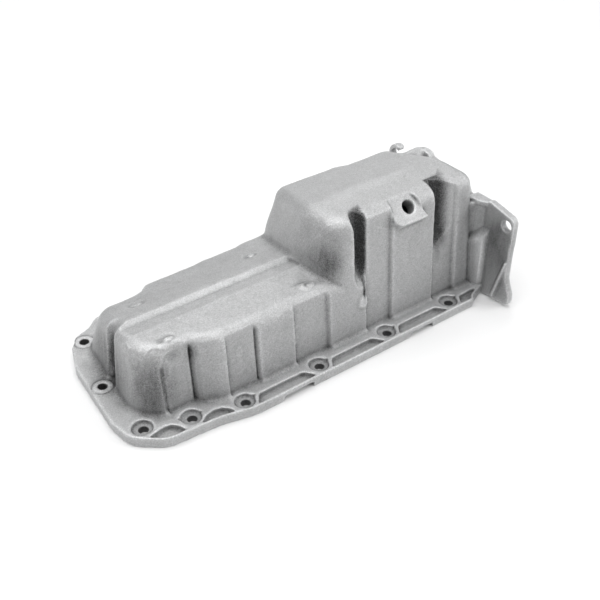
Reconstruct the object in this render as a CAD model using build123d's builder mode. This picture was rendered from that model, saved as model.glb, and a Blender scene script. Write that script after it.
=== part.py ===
from build123d import *
import math
import os

# Cast aluminium engine oil pan, standing on its gasket face with the sump pointing up.
# Millimetres. X runs from the front end to the gearbox end, the near side is -Y, Z is up
# from the gasket face. The origin is the middle of the four equally pitched bolt rows.
# Near and far name the two long sides.

# Gasket flange and its bolts
bore_pitch = 86.0
row_half_width = 97.25
gasket_bolt_hole = 9.0
flange_height = 11.0
rail_half_width = 110.5
rim_width = 2.5
pocket_floor = 6.0
seat_floor = 7.5
seat_radius = 10.0
bolt_clearance = 12.5
pad_radius = 9.5
pad_height = 0.8

# Long walls: distance from the centre line at the gasket face, and how far they lean in
wall = 4.5
near_wall_base = 86.0
near_wall_draft = 3.8
far_wall_base = 82.0
far_wall_draft = 11.3

# Shallow tray
tray_floor = 80.0
tray_far_fall = 16.6
tray_bend_y = -12.0
tray_edge_radius = 13.0
tray_end_x = 20.0
channel_front = -214.0
channel_depth = 3.0
front_wall_x = -221.0
front_wall_y = -50.0
front_wall_turn = 7.1
front_wall_lean = 5.0
near_narrow_y = 73.2
far_narrow_y = 70.0
narrow_end_x = -166.0
narrow_step = 24.0
fold_radius = 5.0

# Deep sump
sump_floor = 140.0
sump_far_fall = 16.0
sump_bend_y = -30.0
sump_edge_radius = 15.0
sump_front_x = -17.5
sump_front_lean = 10.0
sump_front_turn = 17.0
sump_rear_x = 174.0
sump_rear_lean = 1.8
bend_radius = 90.0

# Spanner room pressed into the long walls beside the bolts, and two deeper finger slots
relief_depth = 3.0
near_relief_reach = [(-8.0, 25.4), (-18.3, 23.4), (-16.7, 16.4), (-14.0, 17.0)]
far_relief_reach = [(-14.0, 28.0), (-25.0, 21.0), (-17.0, 16.0), (-14.0, 21.0)]
near_corner_relief = (-194.5, -164.5)
far_corner_relief = (-182.0, -149.0)
slot_depth = 12.0
slot_start = 90.0
slot_run_out = 24.0
front_slot_x = 20.3
front_slot_radius = 8.0
rear_slot_x = 116.0
rear_slot_width = 34.0

# Drain
drain_x = 82.0
drain_y = -74.6
drain_z = 130.1
drain_thread = 14.0
drain_boss_radius = 13.0
drain_boss_depth = 14.0

# Gearbox end
plate_front = 177.0
plate_thickness = 8.0
plate_rear = plate_front + plate_thickness
ear_hole = 13.0
near_ear_hole = (-119.2, 94.0)
far_ear_hole = (103.0, 24.0)
web_top = 106.0
lip_thickness = 4.0
bulge_top = 80.0
rib_height = 3.0
boss_place = (12.0, 118.0)
boss_radius = 10.5
boss_reach = 27.0
claw_place = (46.0, 108.0)
claw_radius = 11.0
claw_wall = 4.2
claw_reach = 3.0

below = 30.0  # how far cutting tools start under the gasket face
near_lean = math.tan(math.radians(near_wall_draft))
far_lean = -math.tan(math.radians(far_wall_draft))


def leaning_plane(x, y, z, heading, lean):
    """Plane of a wall through a point, facing a compass heading and leaning back."""
    turn = math.radians(heading)
    tilt = math.radians(lean)
    facing = (math.cos(turn) * math.cos(tilt), math.sin(turn) * math.cos(tilt), math.sin(tilt))
    return Plane(origin=(x, y, z), z_dir=facing)


def closest_edge(shape, x, y, z):
    """Edge of a block nearest to a point."""
    return shape.edges().sort_by_distance((x, y, z))[0]


def roof_rim(shape):
    """Edges that bound the upward faces of a block, without the edges between two of them."""
    roof = [face for face in shape.faces() if face.normal_at().Z > 0.8]
    edges = [edge for face in roof for edge in face.edges()]
    return [edge for edge in edges if sum(edge.is_same(other) for other in edges) == 1]


def cross_section(level, bend_y, fall, start_x, inset):
    """Section across the pan: two leaning walls, a level floor and its far part falling away."""
    slope = math.tan(math.radians(fall))
    far_y = (far_wall_base + far_lean * (level + slope * bend_y)) / (1 + far_lean * slope)
    far_z = level - slope * (far_y - bend_y)
    with BuildSketch(Plane.YZ.offset(start_x)) as section:
        with BuildLine():
            Polyline(
                (-near_wall_base - below * near_lean, -below),
                (-near_wall_base + level * near_lean, level),
                (bend_y, level),
                (far_y, far_z),
                (far_wall_base - below * far_lean, -below),
                close=True,
            )
        make_face()
        bend = section.vertices().sort_by_distance((bend_y, level, 0))[0]
        fillet(bend, radius=bend_radius)
        if inset > 0:
            offset(amount=-inset)
    return section.sketch


def leaning_cutter(points, lean, start, stop):
    """Prism over a plan outline given at the gasket face, following the lean of a long wall."""
    with BuildPart() as cutter:
        with BuildSketch(Plane.XY.offset(start)):
            with Locations((0, start * lean)):
                Polygon(*points, align=None)
        extrude(amount=stop - start, dir=(0, lean, 1))
    return cutter.part


def tray_block(inset):
    """Shallow part of the pan; inset moves every wall and the floor inward."""
    step_end = narrow_end_x + narrow_step
    heading = 180 - front_wall_turn
    front = leaning_plane(front_wall_x, front_wall_y, flange_height, heading, front_wall_lean)
    near_edge = [
        (-260, -near_narrow_y + inset),
        (narrow_end_x, -near_narrow_y + inset),
        (step_end, -near_wall_base + inset),
        (step_end, -150),
        (-260, -150),
    ]
    far_edge = [
        (-260, far_narrow_y - inset),
        (narrow_end_x, far_narrow_y - inset),
        (step_end, far_wall_base - inset),
        (step_end, 150),
        (-260, 150),
    ]
    with BuildPart() as block:
        section = cross_section(tray_floor, tray_bend_y, tray_far_fall, -250, inset)
        extrude(section, amount=250 + tray_end_x, dir=(1, 0, 0))
        split(bisect_by=front.offset(-inset), keep=Keep.BOTTOM)
        add(leaning_cutter(near_edge, near_lean, -below, 120), mode=Mode.SUBTRACT)
        add(leaning_cutter(far_edge, far_lean, -below, 120), mode=Mode.SUBTRACT)
        fillet(closest_edge(block, -222, -72, 30), radius=34 - inset)
        fillet(closest_edge(block, -205, 62, 30), radius=24 - inset)
        fillet(closest_edge(block, narrow_end_x, -72, 30), radius=fold_radius + inset)
        fillet(closest_edge(block, step_end, -84, 30), radius=25 - inset)
        fillet(closest_edge(block, narrow_end_x, 64, 30), radius=20 + inset)
        fillet(closest_edge(block, step_end, 76, 30), radius=25 - inset)
        rim = [edge for edge in roof_rim(block.part) if edge.center().X < tray_end_x - 1]
        fillet(rim, radius=tray_edge_radius - inset)
    return block.part


def sump_block(inset):
    """Deep part of the pan; inset moves every wall and the floor inward."""
    front = leaning_plane(sump_front_x, -45, tray_floor, 180, sump_front_lean)
    heading = 180 - sump_front_turn
    turned_front = leaning_plane(sump_front_x, -22, tray_floor, heading, sump_front_lean)
    rear = leaning_plane(sump_rear_x, 0, 0, 0, sump_rear_lean)
    with BuildPart() as block:
        section = cross_section(sump_floor, sump_bend_y, sump_far_fall, -80, inset)
        extrude(section, amount=300, dir=(1, 0, 0))
        split(bisect_by=front.offset(-inset), keep=Keep.BOTTOM)
        split(bisect_by=turned_front.offset(-inset), keep=Keep.BOTTOM)
        split(bisect_by=rear.offset(-inset), keep=Keep.BOTTOM)
        fillet(closest_edge(block, -12, -80, 100), radius=25 - inset)
        fillet(closest_edge(block, -14, -22, 100), radius=60 - inset)
        fillet(closest_edge(block, 12, 62, 90), radius=22 - inset)
        fillet(closest_edge(block, 171, -80, 80), radius=11 - inset)
        fillet(closest_edge(block, 171, 64, 80), radius=16 - inset)
        fillet(roof_rim(block.part), radius=sump_edge_radius - inset)
    return block.part


def relief_cutter(start_x, stop_x, face_y, lean, grow):
    """Shallow bay in a long wall; face_y is the wall at the gasket face, grow widens the tool."""
    side = math.copysign(1, face_y)
    depth = relief_depth + grow
    inner = face_y - side * depth
    outer = face_y + side * 12
    points = [
        (start_x - grow - 0.5, outer),
        (start_x - grow + 0.5, inner),
        (stop_x + grow - relief_depth / 2, inner),
        (stop_x + grow + relief_depth / 2 + 12, outer),
    ]
    return leaning_cutter(points, lean, flange_height if grow == 0 else -below, 160)


def all_reliefs(grow):
    """Every bay of both long walls, placed from the straight bolts."""
    bays = []
    for bolt, near, far in zip(straight_bolts(), near_relief_reach, far_relief_reach):
        bays.append((bolt + near[0], bolt + near[1], -near_wall_base, near_lean))
        bays.append((bolt + far[0], bolt + far[1], far_wall_base, far_lean))
    bays.append((*near_corner_relief, -near_narrow_y, near_lean))
    bays.append((*far_corner_relief, far_narrow_y, far_lean))
    return [relief_cutter(a, b, face_y, lean, grow) for a, b, face_y, lean in bays]


def front_slot(grow):
    """Deep round-ended slot at the sump's front corner; it runs out of the wall downward."""
    radius = front_slot_radius + grow
    wall_y = -near_wall_base + slot_start * near_lean
    turn = (front_slot_x, wall_y + slot_depth - front_slot_radius, slot_start)
    upper = Plane(origin=turn, x_dir=(1, 0, 0), z_dir=(0, near_lean, 1))
    lower = Plane(origin=turn, x_dir=(1, 0, 0), z_dir=(0, -slot_depth - 1.0, -slot_run_out))
    with BuildPart() as cutter:
        with BuildSketch(upper):
            Circle(radius)
            Rectangle(2 * radius, 40, align=(Align.CENTER, Align.MAX))
        extrude(amount=70)
        with BuildSketch(lower):
            Circle(radius)
            Rectangle(2 * radius, 40, align=(Align.CENTER, Align.MIN))
        extrude(amount=45)
        with Locations(turn):
            Sphere(radius)
    return cutter.part


def rear_slot(grow):
    """Wide slot near the gearbox end, deepest along its front side, running out downward."""
    wall_y = -near_wall_base + slot_start * near_lean
    with BuildSketch(Plane.XY.offset(slot_start)) as plan:
        with Locations((rear_slot_x, wall_y)):
            Polygon(
                (-1.5, -16),
                (0.5, 0.6 * slot_depth),
                (5.5, slot_depth),
                (0.45 * rear_slot_width, 0.7 * slot_depth),
                (rear_slot_width, -0.5),
                (rear_slot_width + 2, -16),
                align=None,
            )
        if grow > 0:
            offset(amount=grow)
    with BuildPart() as cutter:
        extrude(plan.sketch, amount=70, dir=(0, near_lean, 1))
        extrude(plan.sketch, amount=45, dir=(0, -slot_depth - 1.0, -slot_run_out))
    return cutter.part


def drain_face():
    """Plane of the machined drain seat, facing halfway between the near side and up."""
    return Plane(origin=(drain_x, drain_y, drain_z), x_dir=(1, 0, 0), z_dir=(0, -1, 1))


def drain_boss(grow):
    """Block behind the drain seat."""
    outline = [(-21, 13), (-22, -10), (-16, -16.3), (17.7, -16.3), (9, 13)]
    with BuildPart() as boss:
        with BuildSketch(drain_face()):
            Polygon(*outline, align=None)
            if grow > 0:
                offset(amount=grow)
        extrude(amount=-12)
        with BuildSketch(drain_face()):
            Circle(drain_boss_radius)
        extrude(amount=-drain_boss_depth)
    return boss.part


def drain_clearing():
    """Everything in front of the drain seat."""
    with BuildPart() as clearing:
        with BuildSketch(drain_face()):
            Polygon(
                (-21, 24),
                (-22, -10),
                (-16, -20),
                (17.7, -20),
                (17.7, -16.3),
                (5.5, 24),
                align=None,
            )
        extrude(amount=14)
    return clearing.part


def straight_bolts():
    """Bolt places of one straight row, measured along the pan."""
    return [bore_pitch * (step - 1.5) for step in range(4)]


near_front_bolts = [(-179.4, -85.8), (-221.4, -71.7)]
front_end_bolts = [(-225.0, -2.0), (-208.0, 68.8)]
far_front_bolt = (-165.5, 85.8)
flange_corners = [
    (-125, -rail_half_width, 60),
    (-160, -102.3, 60),
    (-212, -98.5, 25),
    (-238, -77, 25),
    (-241.5, -49, 20),
    (-233, 38, 40),
    (-218, 78.5, 15),
    (-170, 97, 40),
    (-125, rail_half_width, 60),
    (152, rail_half_width, 3),
    (157.5, 105, 6),
    (181, 96.6, 0),
    (181, -96.6, 0),
    (157.5, -105, 6),
    (152, -rail_half_width, 3),
]


def flange_outline(inset):
    """Outline of the gasket flange with every corner rounded by its own radius."""
    with BuildSketch() as outline:
        with BuildLine():
            Polyline(*[(x, y) for x, y, radius in flange_corners], close=True)
        make_face()
        for x, y, radius in flange_corners:
            if radius > 0:
                fillet(outline.vertices().sort_by_distance((x, y, 0))[0], radius=radius)
        if inset > 0:
            offset(amount=-inset)
    return outline.sketch


def pocket_outlines():
    """Weight-saving pockets of the near rail, still without the outer rim."""
    beyond = rail_half_width + 6
    row = straight_bolts()
    outlines = []
    for here, ahead in zip(row, row[1:]):
        outlines.append([
            (here + 1.5, -beyond),
            (here + 14.5, -97.8),
            (here + 17.0, -96.8),
            (ahead - 22.0, -96.8),
            (ahead - 19.0, -98.3),
            (ahead - 4.5, -beyond),
        ])
    last = row[-1]
    outlines.append([
        (last + 1.5, -beyond),
        (last + 14.5, -97.8),
        (last + 42, -96.8),
        (last + 46, -beyond),
    ])
    return outlines


corner_pocket = [
    (-229, -87),
    (-218, -84.6),
    (-207, -82.2),
    (-200, -83.8),
    (-195.5, -88.5),
    (-191.5, -98),
    (-187, -112),
    (-240, -112),
]
front_pocket = [
    (-180, -100.5),
    (-168.5, -92.3),
    (-160, -90.5),
    (-152, -92),
    (-147, -96.5),
    (-144, -103),
    (-141.5, -116),
    (-186, -116),
]


def rail_pockets():
    """Pockets of the near rail and their mirror images on the far rail."""
    with BuildPart() as pockets:
        with BuildSketch(Plane.XY.offset(pocket_floor)):
            for outline in pocket_outlines():
                Polygon(*outline, align=None)
                Polygon(*[(x, -y) for x, y in outline], align=None)
            Polygon(*corner_pocket, align=None)
            Polygon(*front_pocket, align=None)
            add(flange_outline(rim_width), mode=Mode.INTERSECT)
        extrude(amount=20)
    return pockets.part


def bolt_seat(x, y, tips):
    """Sunk seat round a gasket bolt, drawn out to one or more tips."""
    with BuildPart() as seat:
        with BuildSketch(Plane.XY.offset(seat_floor)):
            with Locations((x - 1, y)):
                Circle(seat_radius)
            for tip_x, tip_y in tips:
                turn = math.atan2(tip_y, tip_x)
                side_x = seat_radius * 0.9 * math.sin(turn)
                side_y = seat_radius * 0.9 * math.cos(turn)
                Polygon(
                    (x - 1 - side_x, y + side_y),
                    (x - 1 + side_x, y - side_y),
                    (x + tip_x, y + tip_y),
                    align=None,
                )
        extrude(amount=flange_height - seat_floor + 1)
    return seat.part


def plate_outline():
    """Gearbox plate seen along the pan, with the near ear and the low far ear."""
    points = [
        (-98, 0), (-112, 3), (-134.8, 3.3), (-135, 16), (-127, 33), (-129, 104), (-92, 111.5),
        (-90, 105.5), (-63, 105.5), (-58, 115.4), (-36, 119.4), (-17, 121.6), (-5, 123.4), (-2, 127.3),
        (6, 129), (14, 127.4), (24.4, 121), (30, 116), (62, 97), (94, 70), (113, 44), (117, 14), (110, 0),
    ]
    with BuildSketch(Plane.YZ.offset(plate_front)) as outline:
        with BuildLine():
            Polyline(*points, close=True)
        make_face()
        for (y, z), radius in zip(points[1:7], [14, 4, 8, 30, 9, 3]):
            fillet(outline.vertices().sort_by_distance((y, z, 0))[0], radius=radius)
        fillet(outline.vertices().sort_by_distance((113, 44, 0))[0], radius=14)
        fillet(outline.vertices().sort_by_distance((117, 14, 0))[0], radius=10)
    return outline.sketch


def gearbox_bulge():
    """Upright bulge between the sump's rear corner and the plate, with a steep roof."""
    with BuildPart() as bulge:
        with BuildSketch():
            with Locations((plate_front, 0)):
                Polygon(
                    (-17, -79),
                    (-9.5, -79),
                    (-5, -94.5),
                    (-1, -97.5),
                    (1, -100),
                    (3, -100),
                    (3, -79),
                    align=None,
                )
        extrude(amount=bulge_top + 10)
        roof = Plane(origin=(plate_front, -90, bulge_top), z_dir=(-2, 0, 1))
        split(bisect_by=roof, keep=Keep.BOTTOM)
    return bulge.part


def pry_notch(start_x, stop_x):
    """Sloping nick under the near rail for a lever."""
    with BuildPart() as notch:
        with BuildSketch(Plane.YZ.offset(start_x)):
            with Locations((-rail_half_width, 0)):
                Polygon((-3.5, -1), (-3.5, 8.5), (0, 5.8), (8.5, -0.8), (8.5, -1), align=None)
        extrude(amount=stop_x - start_x)
    return notch.part


with BuildPart() as core:
    add(tray_block(wall))
    add(sump_block(wall))
    for bay in all_reliefs(wall):
        add(bay, mode=Mode.SUBTRACT)
    add(front_slot(wall), mode=Mode.SUBTRACT)
    add(rear_slot(wall), mode=Mode.SUBTRACT)
    add(drain_boss(wall), mode=Mode.SUBTRACT)
    with Locations((front_end_bolts[0][0], front_end_bolts[0][1], -below)):
        upright = (Align.CENTER, Align.CENTER, Align.MIN)
        Cylinder(bolt_clearance + wall, 160, align=upright, mode=Mode.SUBTRACT)

with BuildPart() as pan_casting:
    add(tray_block(0))
    add(sump_block(0))
    split(bisect_by=Plane.XY, keep=Keep.TOP)
    step_edges = [edge for edge in pan_casting.edges() if -20 < edge.center().X < 14]
    step_edges = [edge for edge in step_edges if 53 < edge.center().Z < 80.5 and edge.center().Y < 70]
    fillet(step_edges, radius=5)
    # gasket flange, with a soft foot all round the walls
    extrude(flange_outline(0), amount=flange_height)
    top = [face for face in pan_casting.faces() if abs(face.center().Z - flange_height) < 0.01]
    foot = [edge for face in top for wire in face.inner_wires() for edge in wire.edges()]
    fillet(foot, radius=4.5)
    # bays, slots and the drain
    for bay in all_reliefs(0):
        add(bay, mode=Mode.SUBTRACT)
    add(front_slot(0), mode=Mode.SUBTRACT)
    add(rear_slot(0), mode=Mode.SUBTRACT)
    with Locations((front_end_bolts[0][0], front_end_bolts[0][1], flange_height)):
        upright = (Align.CENTER, Align.CENTER, Align.MIN)
        Cylinder(bolt_clearance, 90, align=upright, mode=Mode.SUBTRACT)
    # raised pads of the two front end bolts
    with BuildSketch(Plane.XY.offset(flange_height)):
        with Locations(*front_end_bolts):
            Circle(pad_radius)
    extrude(amount=pad_height)
    add(drain_boss(0))
    add(drain_clearing(), mode=Mode.SUBTRACT)
    # shallow channel along the tray floor
    with BuildSketch(Plane.YZ.offset(channel_front)):
        with Locations((0, tray_floor)):
            Polygon((-33, 0.1), (-17, -channel_depth), (-3, -0.5), (-3, 3), (-33, 3), align=None)
    extrude(amount=sump_front_x - channel_front, mode=Mode.SUBTRACT)
    # gearbox plate and what ties it to the sump
    extrude(plate_outline(), amount=plate_thickness)
    with BuildSketch():
        with Locations((plate_front, 0)):
            Polygon((-17, -76), (-5.5, -79.5), (1, -92), (3, -92), (3, 52), (-17, 52), align=None)
    extrude(amount=web_top)
    # lip over the web, rounded shelf and rib of the near ear, boss and claw of the far side
    with BuildSketch(Plane.XY.offset(web_top - 0.5)):
        with Locations((plate_front, 0)):
            Polygon((-6, -81.5), (0, -92.8), (8, -92.8), (8, -70), (-6, -70), align=None)
    extrude(amount=lip_thickness)
    add(gearbox_bulge())
    with BuildSketch(Plane.YZ.offset(plate_front - rib_height)):
        Polygon((-127.8, 54), (-125.2, 54), (-112, 6), (-115.5, 6), align=None)
    extrude(amount=rib_height + 2)
    with BuildSketch(Plane.YZ.offset(plate_front - boss_reach)):
        with Locations(boss_place):
            Circle(boss_radius)
    extrude(amount=boss_reach + 3)
    with BuildSketch(Plane.YZ.offset(plate_front - claw_reach)):
        with Locations(claw_place):
            Circle(claw_radius)
            Circle(claw_radius - claw_wall, mode=Mode.SUBTRACT)
            with Locations((-5, 0)):
                Rectangle(20, 40, align=(Align.MAX, Align.CENTER), mode=Mode.SUBTRACT)
    extrude(amount=claw_reach + 6)
    # hollow inside
    add(core.part, mode=Mode.SUBTRACT)
    # seats, pockets, nicks and holes of the gasket flange
    add(rail_pockets(), mode=Mode.SUBTRACT)
    for bolt_x in straight_bolts():
        add(bolt_seat(bolt_x, -row_half_width, [(12.0, 2.0)]), mode=Mode.SUBTRACT)
        add(bolt_seat(bolt_x, row_half_width, [(12.0, -2.0)]), mode=Mode.SUBTRACT)
    add(bolt_seat(*near_front_bolts[0], [(-13.0, 4.5), (11.0, 1.0)]), mode=Mode.SUBTRACT)
    add(bolt_seat(*near_front_bolts[1], []), mode=Mode.SUBTRACT)
    add(bolt_seat(*far_front_bolt, []), mode=Mode.SUBTRACT)
    for bolt_x, ahead, length in [(-bore_pitch / 2, -51, 35), (bore_pitch / 2, 22, 30)]:
        add(pry_notch(bolt_x + ahead, bolt_x + ahead + length), mode=Mode.SUBTRACT)
    with BuildSketch():
        with Locations(*[(x, -row_half_width) for x in straight_bolts()]):
            Circle(gasket_bolt_hole / 2)
        with Locations(*[(x, row_half_width) for x in straight_bolts()]):
            Circle(gasket_bolt_hole / 2)
        with Locations(*near_front_bolts, *front_end_bolts, far_front_bolt):
            Circle(gasket_bolt_hole / 2)
    extrude(amount=flange_height + 1, mode=Mode.SUBTRACT)
    with BuildSketch(drain_face()):
        Circle(drain_thread / 2)
    extrude(amount=-40, mode=Mode.SUBTRACT)
    with BuildSketch(Plane.YZ.offset(plate_rear)):
        with Locations(near_ear_hole, far_ear_hole):
            Circle(ear_hole / 2)
    extrude(amount=-plate_thickness, mode=Mode.SUBTRACT)

os.makedirs("parts", exist_ok=True)
pan_casting.part.label = "pan_casting"
export_step(pan_casting.part, "parts/pan_casting.step")
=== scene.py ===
"""Cast aluminium engine oil pan, upside down on its gasket face in a pale studio.

Metres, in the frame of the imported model: X runs from the front end to the gearbox end,
the near side is -Y, and Z is up from the gasket face. The shapes below are worked out in
millimetres, and turned to metres when they go into the mesh.
"""
import math

import bmesh
import bpy
import numpy as np
from mathutils import Euler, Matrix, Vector


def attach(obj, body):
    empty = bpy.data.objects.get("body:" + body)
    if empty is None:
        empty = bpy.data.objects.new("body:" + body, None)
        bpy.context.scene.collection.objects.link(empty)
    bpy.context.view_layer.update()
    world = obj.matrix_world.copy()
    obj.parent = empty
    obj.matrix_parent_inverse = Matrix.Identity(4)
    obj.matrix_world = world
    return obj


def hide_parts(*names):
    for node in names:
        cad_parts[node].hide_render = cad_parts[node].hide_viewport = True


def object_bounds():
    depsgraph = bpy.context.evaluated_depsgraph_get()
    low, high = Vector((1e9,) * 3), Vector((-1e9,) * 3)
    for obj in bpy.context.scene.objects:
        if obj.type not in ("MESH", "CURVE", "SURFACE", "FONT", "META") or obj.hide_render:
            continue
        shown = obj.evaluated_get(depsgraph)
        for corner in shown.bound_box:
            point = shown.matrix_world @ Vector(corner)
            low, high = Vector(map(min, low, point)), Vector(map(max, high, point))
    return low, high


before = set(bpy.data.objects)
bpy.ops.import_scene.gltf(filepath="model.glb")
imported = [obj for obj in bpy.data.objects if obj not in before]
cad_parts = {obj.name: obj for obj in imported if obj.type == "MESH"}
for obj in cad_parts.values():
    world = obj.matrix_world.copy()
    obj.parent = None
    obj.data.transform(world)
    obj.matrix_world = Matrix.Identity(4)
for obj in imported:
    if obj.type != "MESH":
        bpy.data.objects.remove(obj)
cad_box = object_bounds()

# Camera, as the photograph was taken: metres, degrees, and millimetres of lens and sensor
camera_place = (-0.4816, -0.6456, 0.59605)
camera_heading = 52.877
camera_dip = 35.98
camera_lens = 57.0
sensor_width = 36.0
camera_range = (0.01, 20)

# Studio: floor, surroundings, and lights as name, place, target, side and power.
# The surroundings light the object weakly, and the camera sees them white.
floor_half_side = 4.0
floor_paint = (0.84, 0.84, 0.84, 1)
floor_roughness = 0.9
floor_specular = 0.1
air_colour = (0.98, 0.99, 1.0, 1)
air_strength = 0.13
studio_lights = [
    ("overhead_light", (-0.5, 0.1, 2.3), (0, 0, 0), 3.0, 75),
    ("far_right_light", (1.6, 2.0, 1.7), (0, 0, 0.05), 2.0, 20),
    ("far_left_light", (-1.6, 1.6, 1.45), (0, 0, 0.05), 1.6, 8),
    ("near_right_light", (1.8, -1.5, 1.3), (0, 0, 0.05), 1.5, 32),
]

# The casting's skin: lengths in metres, apart from the margin to the box in millimetres
merge_distance = 2e-6
voxel = 0.00105
smooth_share = 0.5
smooth_rounds = 3
skin_triangles = 194000
flat_face_weight = 50
box_margin = 0.02
mm_per_metre = 1000

# Long near wall: its distance from the centre line at the gasket face and its draft
near_wall_base = 86.0
near_narrow_base = 73.2
near_draft = math.tan(math.radians(3.8))

# Finger slots: how much deeper they get and where along X, the Z over which that starts,
# and the depths behind the wall at which it ends and above which it grows no more
front_slot_gain = 0.42
front_slot_middle = 20.3
front_slot_reach = 11
rear_slot_gain = 0.5
rear_slot_steep_side = (113.5, 116.5)
rear_slot_shallow_side = (127, 143)
slot_start = (60, 76)
slot_floor_end = (24, 48)
slot_most = 12

# Groove behind the front end's middle bolt: a circle and its distance from the wall
groove_middle = -2
groove_radius_squared = 156.25
groove_offset = 7.5
groove_foot = (10.8, 13.5)
groove_foot_share = 0.55
groove_higher_share = 0.45
groove_full_depth = (12, 34)
groove_end = (-199, -178)

# Narrow upright lines of the near wall: X, base of the wall, depth, half width, and Z from
# and to. The first three are at the ends of bays, and the last is under the front slot.
near_lines = [
    (-103.6, near_wall_base, 2.6, 2.6, 11, 76),
    (-165.0, near_narrow_base, 2.6, 2.6, 11, 76),
    (-194.5, near_narrow_base, 1.8, 3.2, 11, 66),
    (24.0, near_wall_base, 1.2, 2.2, 48, 84),
]
line_skin_start = (-4, -1)
line_skin_end = (3.2, 4.6)
line_foot = 3
line_top = 10

# Far upper edges of the tray and the sump: X, and how far each edge is drawn in there
tray_fall_x = (-215, -160, -148, -80, -70, -30, -20, 0, 8)
tray_fall = (9, 9.5, 7, 6, 4.5, 4, 1.5, 1, 0)
tray_fall_z = (16, 58)
sump_fall_x = (-4, 5, 12, 22, 92, 108, 160, 176)
sump_fall = (0, 4, 4, 2, 2, 6.5, 5.5, 0)
sump_fall_z = (62, 118)
fall_y = (0, 48)

# Moved corners: place, reach, how far the middle moves, and the highest Z that moves. They
# are the flange's far front corner in two steps, the sump's near corner at the gearbox end,
# and the bay at the near front corner.
flange_only = 11.6
any_height = 200.0
moved_corners = [
    ((-219, 76, 5), (10, 10, 30), (2.4, -1.6, 0), flange_only),
    ((-179, 96, 5), (20, 16, 30), (-3.0, 5.5, 0), flange_only),
    ((174, -84, 113), (12, 12, 16), (1.0, -3.0, 0), any_height),
    ((-181, -66, 72), (14, 12, 15), (0, 2.2, -2.6), any_height),
]

# Undulation of the skin: number of waves, shortest, longest, height and seed
undulation = [(26, 18, 44, 0.1, 11), (30, 6, 12, 0.035, 12)]
fine_undulation = (36, 3.0, 5.0, 0.035, 13)

# Marks of the casting: place, reach and height of raised or sunk spots
casting_marks = [
    ((-170, 22, 69), (12, 11, 12), -0.9),
    ((-170, 22, 69), (7, 6, 9), 1.1),
    ((-37, 26, 68), (9, 8, 9), -0.8),
    ((-36, 26, 68), (5, 4.5, 7), 1.2),
    ((-181, -54, 80), (11, 8, 9), -0.8),
    ((-179, -55, 80), (6, 3.5, 7), 1.2),
    ((-34, -65, 79), (11, 7, 9), 1.4),
    ((-31, -66, 79), (6, 4, 6), 1.0),
    ((-39, -62, 79), (5, 6, 6), 0.6),
    ((22, -83, 47), (7, 8, 9), 1.1),
    ((-214, -50, 64), (9, 10, 11), -0.9),
    ((-205, -64, 60), (7, 7, 12), 0.9),
    ((-192, -69, 56), (6, 6, 15), -1.0),
    ((-199, -61, 76), (8, 6, 7), -0.8),
    ((-187, -60, 79), (7, 5, 6), 0.8),
    ((-213, -36, 74), (7, 9, 7), 0.7),
    ((170, -79, 119), (5, 5, 5), 1.2),
    ((23, -110, 5), (4, 4, 4), 0.5),
    ((-90, -10, 78), (11, 9, 9), 0.35),
    ((60, -20, 137), (12, 10, 9), 0.3),
    ((118, 14, 128), (10, 8, 9), 0.3),
    ((-60, -82, 40), (6, 9, 9), 0.4),
    ((-122, -80, 52), (5, 9, 8), 0.4),
]
mark_full_share = 0.5
gasket_face_stays = (0.5, 3)
gearbox_face_stays = (180, 183)

# Core of the pan, which the outer skin looks away from: share of X, and of Y and Z
core_share_x = 0.78
core_share = 0.35
core_x = (-150, 130)
core_y = (-60, 50)
outward = (-8, 4)

# Painted shade and light in spots on the casting's skin: place, reach and amount
painted_shade_and_light_spots = [
    ((-206, -62, 38), (34, 22, 46), -0.75),
    ((-216, 0, 34), (26, 70, 50), -0.62),
    ((-209, -2, 40), (12, 12, 60), -0.5),
    ((-165, -68, 66), (9, 9, 16), -0.5),
    ((-12, -72, 100), (20, 22, 40), -0.35),
    ((-12, -62, 98), (18, 30, 24), -0.5),
    ((-17, -40, 90), (14, 40, 12), -0.2),
    ((-22, -58, 81), (4, 40, 4), 0.3),
    ((178, -112, 70), (10, 26, 42), -0.85),
    ((-205, -56, 76), (26, 16, 9), 0.15),
    ((22, -83, 47), (8, 8, 10), 0.4),
    ((170, -91, 44), (9, 9, 52), 1.0),
    ((177, -129, 22), (9, 16, 26), -0.45),
    ((24, -82, 60), (4, 7, 22), -0.7),
    ((124, -79, 62), (5, 7, 16), -0.5),
    ((82, -84, 129), (20, 16, 18), 0.24),
    ((-33, -65, 82), (10, 7, 7), -0.6),
    ((-36, -57, 80), (14, 5, 6), -0.35),
    ((-22, -67, 84), (5, 12, 8), -0.35),
    ((-188, -52, 80), (7, 7, 6), -0.25),
    ((-44, 24, 69), (4, 6, 6), -0.25),
    ((-100, -12, 78), (90, 7, 12), 0.15),
    ((60, -30, 140), (90, 12, 12), 0.12),
]
painted_spot_full_share = 0.2

# Edges and recesses: rounds of averaging that reach about 3 mm and 6 mm, the height over
# the surroundings that counts in full, and the shares of the fine and the broad recess
near_rounds, wide_rounds = ((12, 60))
full_edge = 0.55
full_fine_recess = 0.9
full_broad_recess = 3.2
fine_recess_share = 0.55
broad_recess_share = 0.75

# Machined faces: the gasket face, the gearbox face, and what counts as level
gasket_face = (0.3, 0.9)
gearbox_face = (184.0, 184.8)
level_face = (0.97, 0.995)

# Bolts of the flange: two in each row, three alone, and two on raised pads. Their bores
# and seats, and rings round the pads, get painted shade.
bore_rows = (-129.0, -43.0, 43.0, 129.0)
row_bolt_y = 97.25
lone_bolts = [(-179.4, -85.8), (-221.4, -71.7), (-165.5, 85.8)]
pad_bolts = [(-225, -2), (-208, 68.8)]
bore_edge = (4.5, 5.3)
bore_top = (11.5, 12.5)
seat_edge = (9.0, 10.0)
seat_top = (8.5, 10)
seat_shade = 0.28
pad_below = 14
pad_machined = 0.4
pad_ring_shade = 0.6
pad_ring_radius = 10.2
pad_ring_reach = 1.4

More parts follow.
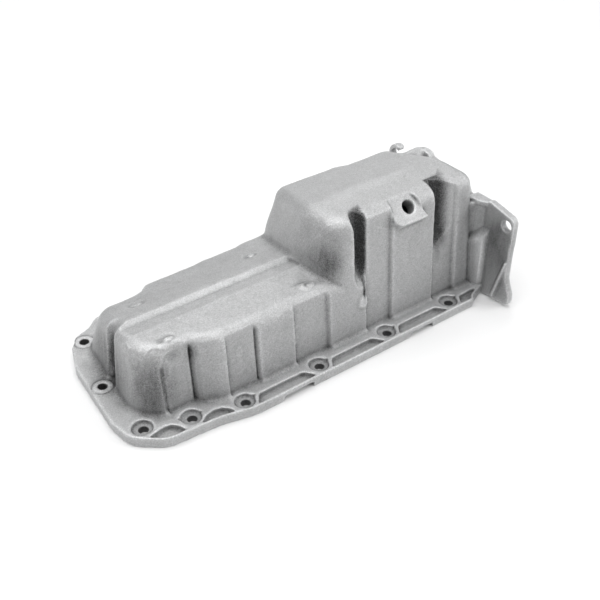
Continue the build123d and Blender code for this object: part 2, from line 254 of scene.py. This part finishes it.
# Shade in the two finger slots: its start and end along X, behind the wall, and along Z
front_shade_start = (13, 27)
front_shade_end = (29, 30)
rear_shade_start = (114, 117)
rear_shade_end = (130, 141)
shade_behind_start = (1.5, 6)
shade_behind_end = (19, 21)
shade_z = (60, 78)

# Material: noises as scale, detail and roughness, and the stretch of the streaks
cloud_noise = (30.0, 4.0, 0.6)
patch_noise = (130.0, 4.0, 0.65)
grain_noise = (820.0, 3.0, 0.75)
streak_noise = (150.0, 3.0, 0.6)
streak_stretch = (1.0, 1.0, 0.16)

# Material: tone of the bare skin, what each noise and mask adds to it, and the tint
bare_tone = 0.505
cloud_tone = 0.025
patch_tone = 0.03
grain_tone = 0.15
# The tones of spots paint shade and light, those of edges a highlight that is partly wear, and
# those of recesses and bores shade.
painted_spot_tone = 0.34
painted_spot_streak_tone = 0.12
worn_edge_and_highlight_tone = 0.15
worn_edge_and_highlight_grain_tone = 0.1
painted_recess_shade_tone = -0.42
machined_tone = 0.12
painted_bore_shade_tone = -0.68
darkest_tone = 0.07
red_share = 0.99
green_share = 0.995

# Material: roughness, metal and bump
bare_roughness = 0.58
patch_roughness = 0.05
machined_roughness = -0.14
recess_roughness = 0.2
metal = 0.88
grain_bump = 0.5
patch_bump = 0.7
bump_strength = 0.55
bump_distance = 0.00045


def add_camera():
    """Camera at the photograph's angle, level, without depth of field."""
    data = bpy.data.cameras.new("photo_camera")
    data.sensor_width = sensor_width
    data.lens = camera_lens
    data.clip_start, data.clip_end = camera_range
    camera = bpy.data.objects.new("photo_camera", data)
    camera.location = camera_place
    turn = (math.radians(90 - camera_dip), 0, math.radians(camera_heading - 90))
    camera.rotation_euler = Euler(turn)
    bpy.context.scene.collection.objects.link(camera)
    bpy.context.scene.camera = camera


def add_light(name, place, target, side, power):
    """Square area light at a place, turned to face a target."""
    data = bpy.data.lights.new(name, "AREA")
    data.shape = "SQUARE"
    data.size = side
    data.energy = power
    light = bpy.data.objects.new(name, data)
    light.location = place
    facing = Vector(target) - Vector(place)
    light.rotation_euler = facing.to_track_quat("-Z", "Y").to_euler()
    bpy.context.scene.collection.objects.link(light)


def add_floor():
    """Plain pale floor of four square faces."""
    line = np.linspace(-floor_half_side, floor_half_side, 3)
    x, y = np.meshgrid(line, line)
    points = np.stack([x.ravel(), y.ravel(), np.zeros(x.size)], axis=1)
    faces = [(i, i + 1, i + 4, i + 3) for i in (0, 1, 3, 4)]
    mesh = bpy.data.meshes.new("studio_floor")
    mesh.from_pydata(points.tolist(), [], faces)
    floor = bpy.data.objects.new("studio_floor", mesh)
    bpy.context.scene.collection.objects.link(floor)
    paint = bpy.data.materials.new("floor_paint")
    paint.use_nodes = True
    shader = paint.node_tree.nodes["Principled BSDF"]
    shader.inputs["Base Color"].default_value = floor_paint
    shader.inputs["Roughness"].default_value = floor_roughness
    shader.inputs["Specular IOR Level"].default_value = floor_specular
    mesh.materials.append(paint)


def add_surroundings():
    """Pale surroundings: weak as light on the object, and white to the camera."""
    world = bpy.data.worlds.new("studio_air")
    world.use_nodes = True
    air = Nodes(world.node_tree)
    seen = air.add("ShaderNodeLightPath").outputs["Is Camera Ray"]
    background = world.node_tree.nodes["Background"]
    background.inputs["Color"].default_value = air_colour
    strength = air.times_add(seen, 1.0 - air_strength, air_strength)
    world.node_tree.links.new(strength, background.inputs["Strength"])
    bpy.context.scene.world = world


def ramp(value, start, stop):
    """0 before start, 1 after stop, and between them 3t^2 - 2t^3 of the share covered."""
    t = np.clip((value - start) / (stop - start), 0, 1)
    return t * t * (3 - 2 * t)


def fade(value, start, stop):
    """1 before start, 0 after stop, and smooth between them."""
    return 1 - ramp(value, start, stop)


def between(value, up, down):
    """Rises from 0 to 1 over the first pair of values and falls back over the second."""
    return ramp(value, *up) * fade(value, *down)


def bell(value, middle, reach):
    """1 at the middle, falling smoothly to 0 at the reach on both sides."""
    return fade(np.abs(value - middle), 0, reach)


def distance(p, place, reach):
    """Distance of each point from a place, counted in reaches along X, Y and Z."""
    return np.linalg.norm((p - np.array(place)) / np.array(reach), axis=1)


def behind_wall(p, base):
    """How far each point lies behind the leaning plane of the long near wall."""
    return p[:, 1] + base - near_draft * p[:, 2]


def vertex_array(mesh, name="co"):
    """Positions or normals of a mesh's vertices as rows."""
    values = np.empty(3 * len(mesh.vertices))
    mesh.vertices.foreach_get(name, values)
    return values.reshape(-1, 3)


def put_back(mesh, p):
    """Writes positions in millimetres into a mesh in metres."""
    mesh.vertices.foreach_set("co", (p / mm_per_metre).ravel())
    mesh.update()


def apply_modifiers(piece):
    """Puts the result of a piece's modifiers into its mesh."""
    shown = piece.evaluated_get(bpy.context.evaluated_depsgraph_get())
    piece.data = bpy.data.meshes.new_from_object(shown)
    piece.modifiers.clear()


def skin_of(node_name, piece_name):
    """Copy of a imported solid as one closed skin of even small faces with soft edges."""
    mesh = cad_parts[node_name].data.copy()
    mesh.materials.clear()
    work = bmesh.new()
    work.from_mesh(mesh)
    bmesh.ops.remove_doubles(work, verts=work.verts, dist=merge_distance)
    work.to_mesh(mesh)
    work.free()
    piece = bpy.data.objects.new(piece_name, mesh)
    bpy.context.scene.collection.objects.link(piece)
    remesh = piece.modifiers.new("even_faces", "REMESH")
    remesh.mode = "VOXEL"
    remesh.voxel_size = voxel
    smooth = piece.modifiers.new("soft_edges", "SMOOTH")
    smooth.factor = smooth_share
    smooth.iterations = smooth_rounds
    apply_modifiers(piece)
    return piece


def deepen_slots(p):
    """Makes the two finger slots of the sump's near wall deeper.

    The depth behind the wall's plane grows by a share of itself that depends on the place
    along the pan: most in the middle of the front slot and at the steep side of the rear.
    """
    behind = behind_wall(p, near_wall_base)
    front = front_slot_gain * bell(p[:, 0], front_slot_middle, front_slot_reach) ** 0.5
    rear = rear_slot_gain * between(p[:, 0], rear_slot_steep_side, rear_slot_shallow_side)
    more = (front + rear) * ramp(p[:, 2], *slot_start) * fade(behind, *slot_floor_end)
    p[:, 1] += more * np.clip(behind, 0, slot_most)


def press_front_groove(p):
    """Presses the upright groove behind the front end's middle bolt into the front wall.

    Its section is the part of a circle of 12.5 mm radius that reaches 5 mm into the wall. It
    starts just above the flange at about half its depth, and is full higher up.
    """
    across = np.clip(groove_radius_squared - (p[:, 1] - groove_middle) ** 2, 0, None)
    depth = np.clip(np.sqrt(across) - groove_offset, 0, None)
    deeper = groove_foot_share + groove_higher_share * ramp(p[:, 2], *groove_full_depth)
    upright = ramp(p[:, 2], *groove_foot) * deeper
    p[:, 0] += depth * upright * fade(p[:, 0], *groove_end)


def cut_line(p, x, base, depth, half_width, low, high):
    """Narrow upright groove in the outer skin of the near wall, with a bell as its section."""
    outer = between(behind_wall(p, base), line_skin_start, line_skin_end)
    along = between(p[:, 2], (low, low + line_foot), (high - line_top, high))
    p[:, 1] += depth * bell(p[:, 0], x, half_width) * outer * along


def fall_far_side(p):
    """Draws the far upper edges of the tray and the sump in, as their tables say along X."""
    x, y, z = p.T
    tray = np.interp(x, tray_fall_x, tray_fall)
    sump = np.interp(x, sump_fall_x, sump_fall)
    p[:, 1] -= tray * ramp(z, *tray_fall_z) * ramp(y, *fall_y)
    p[:, 1] -= sump * ramp(z, *sump_fall_z) * ramp(y, *fall_y)


def shift(p, place, reach, by, highest):
    """Moves the points round a place by a vector, less and less up to the reach."""
    share = fade(distance(p, place, reach), 0, 1) * (p[:, 2] <= highest)
    p += share[:, None] * np.array(by, dtype=float)


def waves(p, count, shortest, longest, height, seed):
    """Sum of plane waves in random directions, each with its own length and phase."""
    rng = np.random.default_rng(seed)
    total = np.zeros(len(p))
    for _ in range(count):
        way = rng.normal(size=3)
        way /= np.linalg.norm(way)
        length = rng.uniform(shortest, longest)
        total += np.sin(2 * np.pi * (p @ way) / length + rng.uniform(0, 2 * np.pi))
    return total * height / math.sqrt(count / 2)


def outside(p, normal):
    """1 on the outer skin and 0 on the inner skin, told by which way the skin looks.

    Each point has a point of the pan's core, nearer the middle than itself. The skin is the
    outer one where its normal points away from there, and the inner one where it points back.
    """
    x, y, z = p.T
    core = np.stack([
        core_share_x * np.clip(x, *core_x),
        core_share * np.clip(y, *core_y),
        core_share * z,
    ], axis=1)
    return ramp(np.sum((p - core) * normal, axis=1), *outward)


def mark_casting(p, normal):
    """Raises or sinks each casting mark along the skin, and lets the whole skin undulate.

    Nothing moves on the gasket face, the gearbox face and inside the pan.
    """
    free = ramp(p[:, 2], *gasket_face_stays) * fade(p[:, 0], *gearbox_face_stays)
    free = free * outside(p, normal)
    rise = sum(waves(p, *row) for row in undulation)
    rise += waves(p, *fine_undulation)
    for place, reach, height in casting_marks:
        rise += height * fade(distance(p, place, reach), mark_full_share, 1)
    p += (rise * free)[:, None] * normal


def inside_box(p):
    """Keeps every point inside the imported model's box."""
    low, high = (mm_per_metre * np.array(corner) for corner in cad_box)
    np.clip(p, low + box_margin, high - box_margin, out=p)


def neighbour_mean(edges, values, rounds):
    """Each vertex's value moved halfway to the mean of its neighbours, a number of times."""
    ends = np.concatenate([edges[:, 0], edges[:, 1]])
    others = np.concatenate([edges[:, 1], edges[:, 0]])
    size = len(values)
    count = np.maximum(np.bincount(ends, minlength=size), 1)
    for _ in range(rounds):
        mean = [
            np.bincount(ends, weights=column[others], minlength=size) / count
            for column in values.T
        ]
        values = 0.5 * values + 0.5 * np.stack(mean, axis=1)
    return values


def finish_and_painted_light_masks(p, normal, edges):
    """Masks of each vertex: worn and highlighted edges, painted shade, machined faces, spots.

    Edges and recesses: how far the vertex stands above or below the mean of its surroundings
    along its normal, at about 3 mm and at about 6 mm. Edges get a brightening that is partly
    wear and partly a painted highlight; recesses, bores, bolt seats, pad rings and finger slots
    get painted shade, and spots painted shade and light. The others: distance from planes,
    axes and places.
    """
    x, y, z = p.T
    near = neighbour_mean(edges, p, near_rounds)
    wide = neighbour_mean(edges, near, wide_rounds)
    fine = np.sum((p - near) * normal, axis=1)
    broad = np.sum((p - wide) * normal, axis=1)
    # Edges are brightened, partly for wear and partly as a painted highlight; recesses get
    # painted shade.
    worn_edge_and_highlight = np.clip(fine / full_edge, 0, 1)
    painted_recess_shade = np.clip(-fine / full_fine_recess, 0, 1) * fine_recess_share
    painted_recess_shade = painted_recess_shade + np.clip(-broad / full_broad_recess, 0, 1) * broad_recess_share
    level = ramp(normal[:, 2], *level_face)
    machined = np.maximum(fade(z, *gasket_face), ramp(x, *gearbox_face))
    # Bores, bolt seats and rings round the pads get painted shade; pad tops count as machined.
    painted_bore_shade = np.zeros(len(p))
    row_bolts = [(row, side * row_bolt_y) for row in bore_rows for side in (-1, 1)]
    for bolt_x, bolt_y in row_bolts + lone_bolts + pad_bolts:
        away = np.hypot(x - bolt_x, y - bolt_y)
        painted_bore_shade = np.maximum(painted_bore_shade, fade(away, *bore_edge) * fade(z, *bore_top))
        seat = fade(away, *seat_edge) * (z < pad_below)
        if (bolt_x, bolt_y) in pad_bolts:
            ring = pad_ring_shade * bell(away, pad_ring_radius, pad_ring_reach)
            machined = np.maximum(machined, pad_machined * seat * level)
            painted_recess_shade = np.maximum(painted_recess_shade, ring * (z < pad_below))
        else:
            painted_recess_shade = np.maximum(painted_recess_shade, seat_shade * seat * fade(z, *seat_top))
    # Painted shade in the two finger slots.
    behind = behind_wall(p, near_wall_base)
    slots = between(x, front_shade_start, front_shade_end)
    slots += between(x, rear_shade_start, rear_shade_end)
    slots *= between(behind, shade_behind_start, shade_behind_end) * ramp(z, *shade_z)
    painted_recess_shade = np.maximum(painted_recess_shade, slots * outside(p, normal))
    # Spots of painted shade and painted highlight.
    painted_shade_and_light = np.zeros(len(p))
    for place, reach, amount in painted_shade_and_light_spots:
        painted_shade_and_light += amount * fade(distance(p, place, reach), painted_spot_full_share, 1)
    masks = {"worn_edge_and_highlight": worn_edge_and_highlight, "painted_recess_shade": painted_recess_shade, "machined": machined, "painted_bore_shade": painted_bore_shade, "painted_shade_and_light": painted_shade_and_light}
    return {name: np.clip(value, -1, 1) for name, value in masks.items()}


def carve(piece):
    """Works the photograph's finer forms into the skin and stores on it the masks of its
    finish and wear and of painted light and shade.
    """
    mesh = piece.data
    p = mm_per_metre * vertex_array(mesh)
    deepen_slots(p)
    press_front_groove(p)
    for line in near_lines:
        cut_line(p, *line)
    fall_far_side(p)
    for corner in moved_corners:
        shift(p, *corner)
    put_back(mesh, p)
    mark_casting(p, vertex_array(mesh, "normal"))
    inside_box(p)
    put_back(mesh, p)
    edges = np.empty(2 * len(mesh.edges), dtype=np.int64)
    mesh.edges.foreach_get("vertices", edges)
    masks = finish_and_painted_light_masks(p, vertex_array(mesh, "normal"), edges.reshape(-1, 2))
    for name, value in masks.items():
        layer = mesh.attributes.new(name, "FLOAT", "POINT")
        layer.data.foreach_set("value", value.astype(np.float32))


def fewer_triangles(piece, most):
    """Joins the flattest neighbouring faces of a piece until it has at most that many.

    The shading normals are then weighted by area, so that flat faces look flat.
    """
    piece.data.calc_loop_triangles()
    count = len(piece.data.loop_triangles)
    if count > most:
        reduce = piece.modifiers.new("fewer", "DECIMATE")
        reduce.ratio = most / count
        reduce.use_collapse_triangulate = True
        apply_modifiers(piece)
    print("skin triangles", count, "->", len(piece.data.polygons))
    piece.data.shade_smooth()
    flatter = piece.modifiers.new("flat_faces_stay_flat", "WEIGHTED_NORMAL")
    flatter.mode = "FACE_AREA"
    flatter.weight = flat_face_weight
    apply_modifiers(piece)


class Nodes:
    """Short way to add and link the nodes of a material or of the surroundings."""

    def __init__(self, tree):
        self.tree = tree

    def add(self, kind, settings=None, **inputs):
        """Node of a kind with plain settings; inputs are numbers or another node's socket.

        An input is called by its name, or by i and its number where names repeat.
        """
        node = self.tree.nodes.new(kind)
        for key, value in (settings or {}).items():
            setattr(node, key, value)
        for key, value in inputs.items():
            by_number = key[0] == "i" and key[1:].isdigit()
            socket = node.inputs[int(key[1:]) if by_number else key]
            if isinstance(value, bpy.types.NodeSocket):
                self.tree.links.new(value, socket)
            else:
                socket.default_value = value
        return node

    def math(self, operation, a, b, clamp=False):
        """Output of one operation on two values."""
        settings = {"operation": operation, "use_clamp": clamp}
        return self.add("ShaderNodeMath", settings, i0=a, i1=b).outputs[0]

    def times_add(self, a, b, c):
        """Output of a times b plus c."""
        settings = {"operation": "MULTIPLY_ADD"}
        return self.add("ShaderNodeMath", settings, i0=a, i1=b, i2=c).outputs[0]

    def mask(self, name):
        """Value of a mask stored on the mesh."""
        return self.add("ShaderNodeAttribute", {"attribute_name": name}).outputs["Fac"]

    def noise(self, place, scale, detail, roughness):
        """Noise on the object's own coordinates, mostly between -1 and 1."""
        inputs = {"Vector": place, "Scale": scale, "Detail": detail, "Roughness": roughness}
        node = self.add("ShaderNodeTexNoise", None, **inputs)
        return self.times_add(node.outputs["Fac"], 4.0, -2.0)


def cast_aluminium():
    """Shot-blasted aluminium casting: mottled grey; edges bright, partly worn and partly a
    painted highlight; dull recesses and bores with painted shade; spots of painted shade
    and light.
    """
    material = bpy.data.materials.new("cast_aluminium")
    material.use_nodes = True
    shader = material.node_tree.nodes["Principled BSDF"]
    n = Nodes(material.node_tree)
    link = material.node_tree.links.new
    place = n.add("ShaderNodeTexCoord").outputs["Object"]
    clouds = n.noise(place, *cloud_noise)
    patches = n.noise(place, *patch_noise)
    grain = n.noise(place, *grain_noise)
    worn_edge_and_highlight, painted_recess_shade, machined, painted_bore_shade, painted_shade_and_light = (
        n.mask(name) for name in ("worn_edge_and_highlight", "painted_recess_shade", "machined", "painted_bore_shade", "painted_shade_and_light")
    )
    tone = n.times_add(clouds, cloud_tone, bare_tone)
    tone = n.times_add(patches, patch_tone, tone)
    tone = n.times_add(grain, grain_tone, tone)
    stretched = n.add("ShaderNodeMapping", None, Vector=place, Scale=streak_stretch)
    streaks = n.noise(stretched.outputs[0], *streak_noise)
    # Painted shade and highlights in spots, with streaks.
    tone = n.times_add(painted_shade_and_light, n.times_add(streaks, painted_spot_streak_tone, painted_spot_tone), tone)
    # Edges brightened: partly wear, partly a painted highlight.
    tone = n.times_add(worn_edge_and_highlight, n.times_add(grain, worn_edge_and_highlight_grain_tone, worn_edge_and_highlight_tone), tone)
    # Painted shade in recesses, bolt seats, pad rings and finger slots.
    tone = n.times_add(painted_recess_shade, painted_recess_shade_tone, tone)
    tone = n.times_add(machined, machined_tone, tone)
    tone = n.math("MAXIMUM", tone, darkest_tone)
    # Painted shade in the bores.
    tone = n.math("MULTIPLY", tone, n.times_add(painted_bore_shade, painted_bore_shade_tone, 1.0), clamp=True)
    red = n.math("MULTIPLY", tone, red_share)
    green = n.math("MULTIPLY", tone, green_share)
    colour = n.add("ShaderNodeCombineColor", None, Red=red, Green=green, Blue=tone)
    link(colour.outputs["Color"], shader.inputs["Base Color"])
    rough = n.times_add(patches, patch_roughness, bare_roughness)
    rough = n.times_add(machined, machined_roughness, rough)
    rough = n.times_add(painted_recess_shade, recess_roughness, rough)
    link(rough, shader.inputs["Roughness"])
    shader.inputs["Metallic"].default_value = metal
    height = n.times_add(grain, grain_bump, n.math("MULTIPLY", patches, patch_bump))
    bump = n.add("ShaderNodeBump", None, Height=height)
    bump.inputs["Strength"].default_value = bump_strength
    bump.inputs["Distance"].default_value = bump_distance
    link(bump.outputs["Normal"], shader.inputs["Normal"])
    return material


add_camera()
add_floor()
add_surroundings()
for studio_light in studio_lights:
    add_light(*studio_light)
casting = skin_of("pan_casting", "oil_pan_casting")
carve(casting)
fewer_triangles(casting, skin_triangles)
casting.data.materials.append(cast_aluminium())
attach(casting, "root")
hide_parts("pan_casting")

bpy.context.scene.view_settings.view_transform = "Standard"
